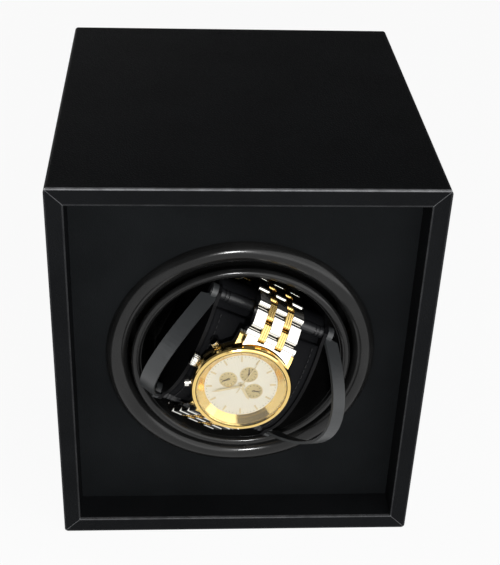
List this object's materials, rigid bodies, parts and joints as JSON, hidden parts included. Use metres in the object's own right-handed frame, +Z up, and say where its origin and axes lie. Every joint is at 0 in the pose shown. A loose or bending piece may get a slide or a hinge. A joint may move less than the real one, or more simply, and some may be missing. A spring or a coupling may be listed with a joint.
{
  "type": "watch winder box",
  "caption": "Leatherette-covered cube with a motor-driven rotating drum behind a round rimmed window; a removable cushion with bow springs carries a wristwatch",
  "frame": {"origin": "centre of the underside of the base felt", "axes": "+Z up, the open front faces -Y, +X to the right as seen from the front"},
  "size_m": [0.15, 0.1768, 0.172],
  "materials": {
    "leather_wrap": "black grained leatherette with a faint sheen",
    "top_board": "bare fibreboard",
    "bottom_board": "bare fibreboard",
    "left_board": "bare fibreboard",
    "right_board": "bare fibreboard",
    "front_panel": "bare fibreboard",
    "panel_facing": "matte black fine-grained leatherette",
    "trim_ring": "gloss black moulded plastic",
    "back_panel": "matte black painted board",
    "corner_blocks": "bare softwood",
    "back_screws": "blackened steel",
    "base_felt": "black felt",
    "partition_board": "bare fibreboard",
    "gearbox_housing": "off-white moulded plastic",
    "gearbox_cover": "off-white moulded plastic",
    "gearbox_screws": "zinc-plated steel",
    "mounting_screws": "zinc-plated steel",
    "shaft_bushes": "sintered bronze",
    "gear_pins": "ground steel",
    "motor_can": "zinc-plated steel can",
    "motor_screws": "zinc-plated steel",
    "circuit_board": "green solder mask",
    "board_components": "black moulded components",
    "board_spacers": "natural nylon",
    "board_screws": "zinc-plated steel",
    "power_inlet": "black moulded socket",
    "switch_body": "folded steel",
    "switch_slider": "black moulded knob",
    "motor_wires": "red insulated wire",
    "motor_shaft": "ground steel",
    "motor_pinion": "cut brass",
    "first_gear": "natural acetal",
    "second_gear": "natural acetal",
    "output_gear": "natural acetal",
    "output_shaft": "ground steel",
    "drum": "gloss black moulded plastic",
    "hub_screw": "zinc-plated steel",
    "holder_shell": "black leatherette over plastic",
    "holder_cheeks": "satin black plastic",
    "ridge_bars": "satin black plastic",
    "cushion_pad": "soft black leatherette over foam",
    "left_spring": "satin dark grey spring strip",
    "right_spring": "satin dark grey spring strip",
    "watch_case": "polished steel",
    "watch_bezel": "polished gold plate",
    "watch_crystal": "clear mineral glass",
    "watch_dial": "cream silvered dial",
    "dial_markers": "applied gilt bars",
    "hour_hand": "gilt",
    "minute_hand": "gilt",
    "seconds_hand": "gilt",
    "subdial_hand_left": "dark bronzed",
    "subdial_hand_top": "dark bronzed",
    "subdial_hand_right": "dark bronzed",
    "crown_stem": "ground steel",
    "watch_crown": "polished fluted steel",
    "start_pusher": "polished steel",
    "reset_pusher": "polished steel",
    "bracelet_links": "polished steel",
    "bracelet_inlays": "polished fluted gold plate",
    "bracelet_clasp": "brushed steel"
  },
  "bodies": {
    "box": {"leather_wrap": "leather_wrap", "top_board": "top_board", "bottom_board": "bottom_board", "left_board": "left_board", "right_board": "right_board", "front_panel": "front_panel", "panel_facing": "panel_facing", "trim_ring": "trim_ring", "back_panel": "back_panel", "corner_blocks": "corner_blocks", "back_screws": "back_screws", "base_felt": "base_felt", "partition_board": "partition_board", "gearbox_housing": "gearbox_housing", "gearbox_cover": "gearbox_cover", "gearbox_screws": "gearbox_screws", "mounting_screws": "mounting_screws", "shaft_bushes": "shaft_bushes", "gear_pins": "gear_pins", "motor_can": "motor_can", "motor_screws": "motor_screws", "circuit_board": "circuit_board", "board_components": "board_components", "board_spacers": "board_spacers", "board_screws": "board_screws", "power_inlet": "power_inlet", "switch_body": "switch_body", "motor_wires": "motor_wires"},
    "slider": {"switch_slider": "switch_slider"},
    "rotor": {"motor_shaft": "motor_shaft", "motor_pinion": "motor_pinion"},
    "first_stage": {"first_gear": "first_gear"},
    "second_stage": {"second_gear": "second_gear"},
    "drum_unit": {"drum": "drum", "hub_screw": "hub_screw", "output_shaft": "output_shaft", "output_gear": "output_gear"},
    "holder": {"holder_shell": "holder_shell", "holder_cheeks": "holder_cheeks", "ridge_bars": "ridge_bars", "cushion_pad": "cushion_pad", "left_spring": "left_spring", "right_spring": "right_spring", "watch_case": "watch_case", "watch_bezel": "watch_bezel", "watch_crystal": "watch_crystal", "watch_dial": "watch_dial", "dial_markers": "dial_markers", "bracelet_links": "bracelet_links", "bracelet_inlays": "bracelet_inlays", "bracelet_clasp": "bracelet_clasp"},
    "hour_hand": {"hour_hand": "hour_hand"},
    "minute_hand": {"minute_hand": "minute_hand"},
    "seconds_hand": {"seconds_hand": "seconds_hand"},
    "subdial_hand_left": {"subdial_hand_left": "subdial_hand_left"},
    "subdial_hand_top": {"subdial_hand_top": "subdial_hand_top"},
    "subdial_hand_right": {"subdial_hand_right": "subdial_hand_right"},
    "crown_stem": {"crown_stem": "crown_stem"},
    "crown": {"watch_crown": "watch_crown"},
    "start_pusher": {"start_pusher": "start_pusher"},
    "reset_pusher": {"reset_pusher": "reset_pusher"}
  },
  "joints": [
    {"name": "drum_spin", "type": "hinge", "parent": "box", "child": "drum_unit", "pos_m": [0, 0, 0.086], "axis": [0, 1, 0], "continuous": true},
    {"name": "second_gear_spin", "type": "hinge", "parent": "box", "child": "second_stage", "pos_m": [0, 0, 0.068], "axis": [0, 1, 0], "continuous": true},
    {"name": "first_gear_spin", "type": "hinge", "parent": "box", "child": "first_stage", "pos_m": [0.01559, 0, 0.059], "axis": [0, 1, 0], "continuous": true},
    {"name": "motor_spin", "type": "hinge", "parent": "box", "child": "rotor", "pos_m": [0.01559, 0, 0.077], "axis": [0, 1, 0], "continuous": true},
    {"name": "cushion_slide", "type": "slide", "parent": "drum_unit", "child": "holder", "axis": [0, -1, 0], "range_m": [0, 0.06]},
    {"name": "mode_switch_slide", "type": "slide", "parent": "box", "child": "slider", "axis": [1, 0, 0], "range_m": [-0.002, 0.002]},
    {"name": "minute_hand_turn", "type": "hinge", "parent": "holder", "child": "minute_hand", "pos_m": [-0.00132, -0.09168, 0.09129], "axis": [0.0174, -0.9994, 0.0302], "continuous": true},
    {"name": "hour_hand_turn", "type": "hinge", "parent": "holder", "child": "hour_hand", "pos_m": [-0.00132, -0.09168, 0.09129], "axis": [0.0174, -0.9994, 0.0302], "continuous": true},
    {"name": "seconds_hand_turn", "type": "hinge", "parent": "holder", "child": "seconds_hand", "pos_m": [-0.00132, -0.09168, 0.09129], "axis": [0.0174, -0.9994, 0.0302], "continuous": true},
    {"name": "subdial_left_turn", "type": "hinge", "parent": "holder", "child": "subdial_hand_left", "pos_m": [-0.00643, -0.09168, 0.09423], "axis": [0.0174, -0.9994, 0.0302], "continuous": true},
    {"name": "subdial_top_turn", "type": "hinge", "parent": "holder", "child": "subdial_hand_top", "pos_m": [0.00163, -0.09147, 0.09639], "axis": [0.0174, -0.9994, 0.0302], "continuous": true},
    {"name": "subdial_right_turn", "type": "hinge", "parent": "holder", "child": "subdial_hand_right", "pos_m": [0.00379, -0.09168, 0.08833], "axis": [0.0174, -0.9994, 0.0302], "continuous": true},
    {"name": "crown_pull", "type": "slide", "parent": "holder", "child": "crown_stem", "axis": [-0.866, 0, 0.5], "range_m": [0, 0.0009]},
    {"name": "crown_turn", "type": "hinge", "parent": "crown_stem", "child": "crown", "pos_m": [-0.01954, -0.08928, 0.10171], "axis": [-0.866, 0, 0.5], "continuous": true},
    {"name": "start_pusher_press", "type": "slide", "parent": "holder", "child": "start_pusher", "axis": [0.5002, -0.0174, -0.8658], "range_m": [0, 0.0007], "stiffness_N_per_m": 400, "springref_m": -0.0005},
    {"name": "reset_pusher_press", "type": "slide", "parent": "holder", "child": "reset_pusher", "axis": [0.9998, 0.0174, -0.0003], "range_m": [0, 0.0007], "stiffness_N_per_m": 400, "springref_m": -0.0005}
  ],
  "couplings": [
    {"joint": "second_gear_spin", "follows": "drum_spin", "ratio": -4},
    {"joint": "first_gear_spin", "follows": "drum_spin", "ratio": 16},
    {"joint": "motor_spin", "follows": "drum_spin", "ratio": -64},
    {"joint": "hour_hand_turn", "follows": "minute_hand_turn", "ratio": 0.083333}
  ]
}
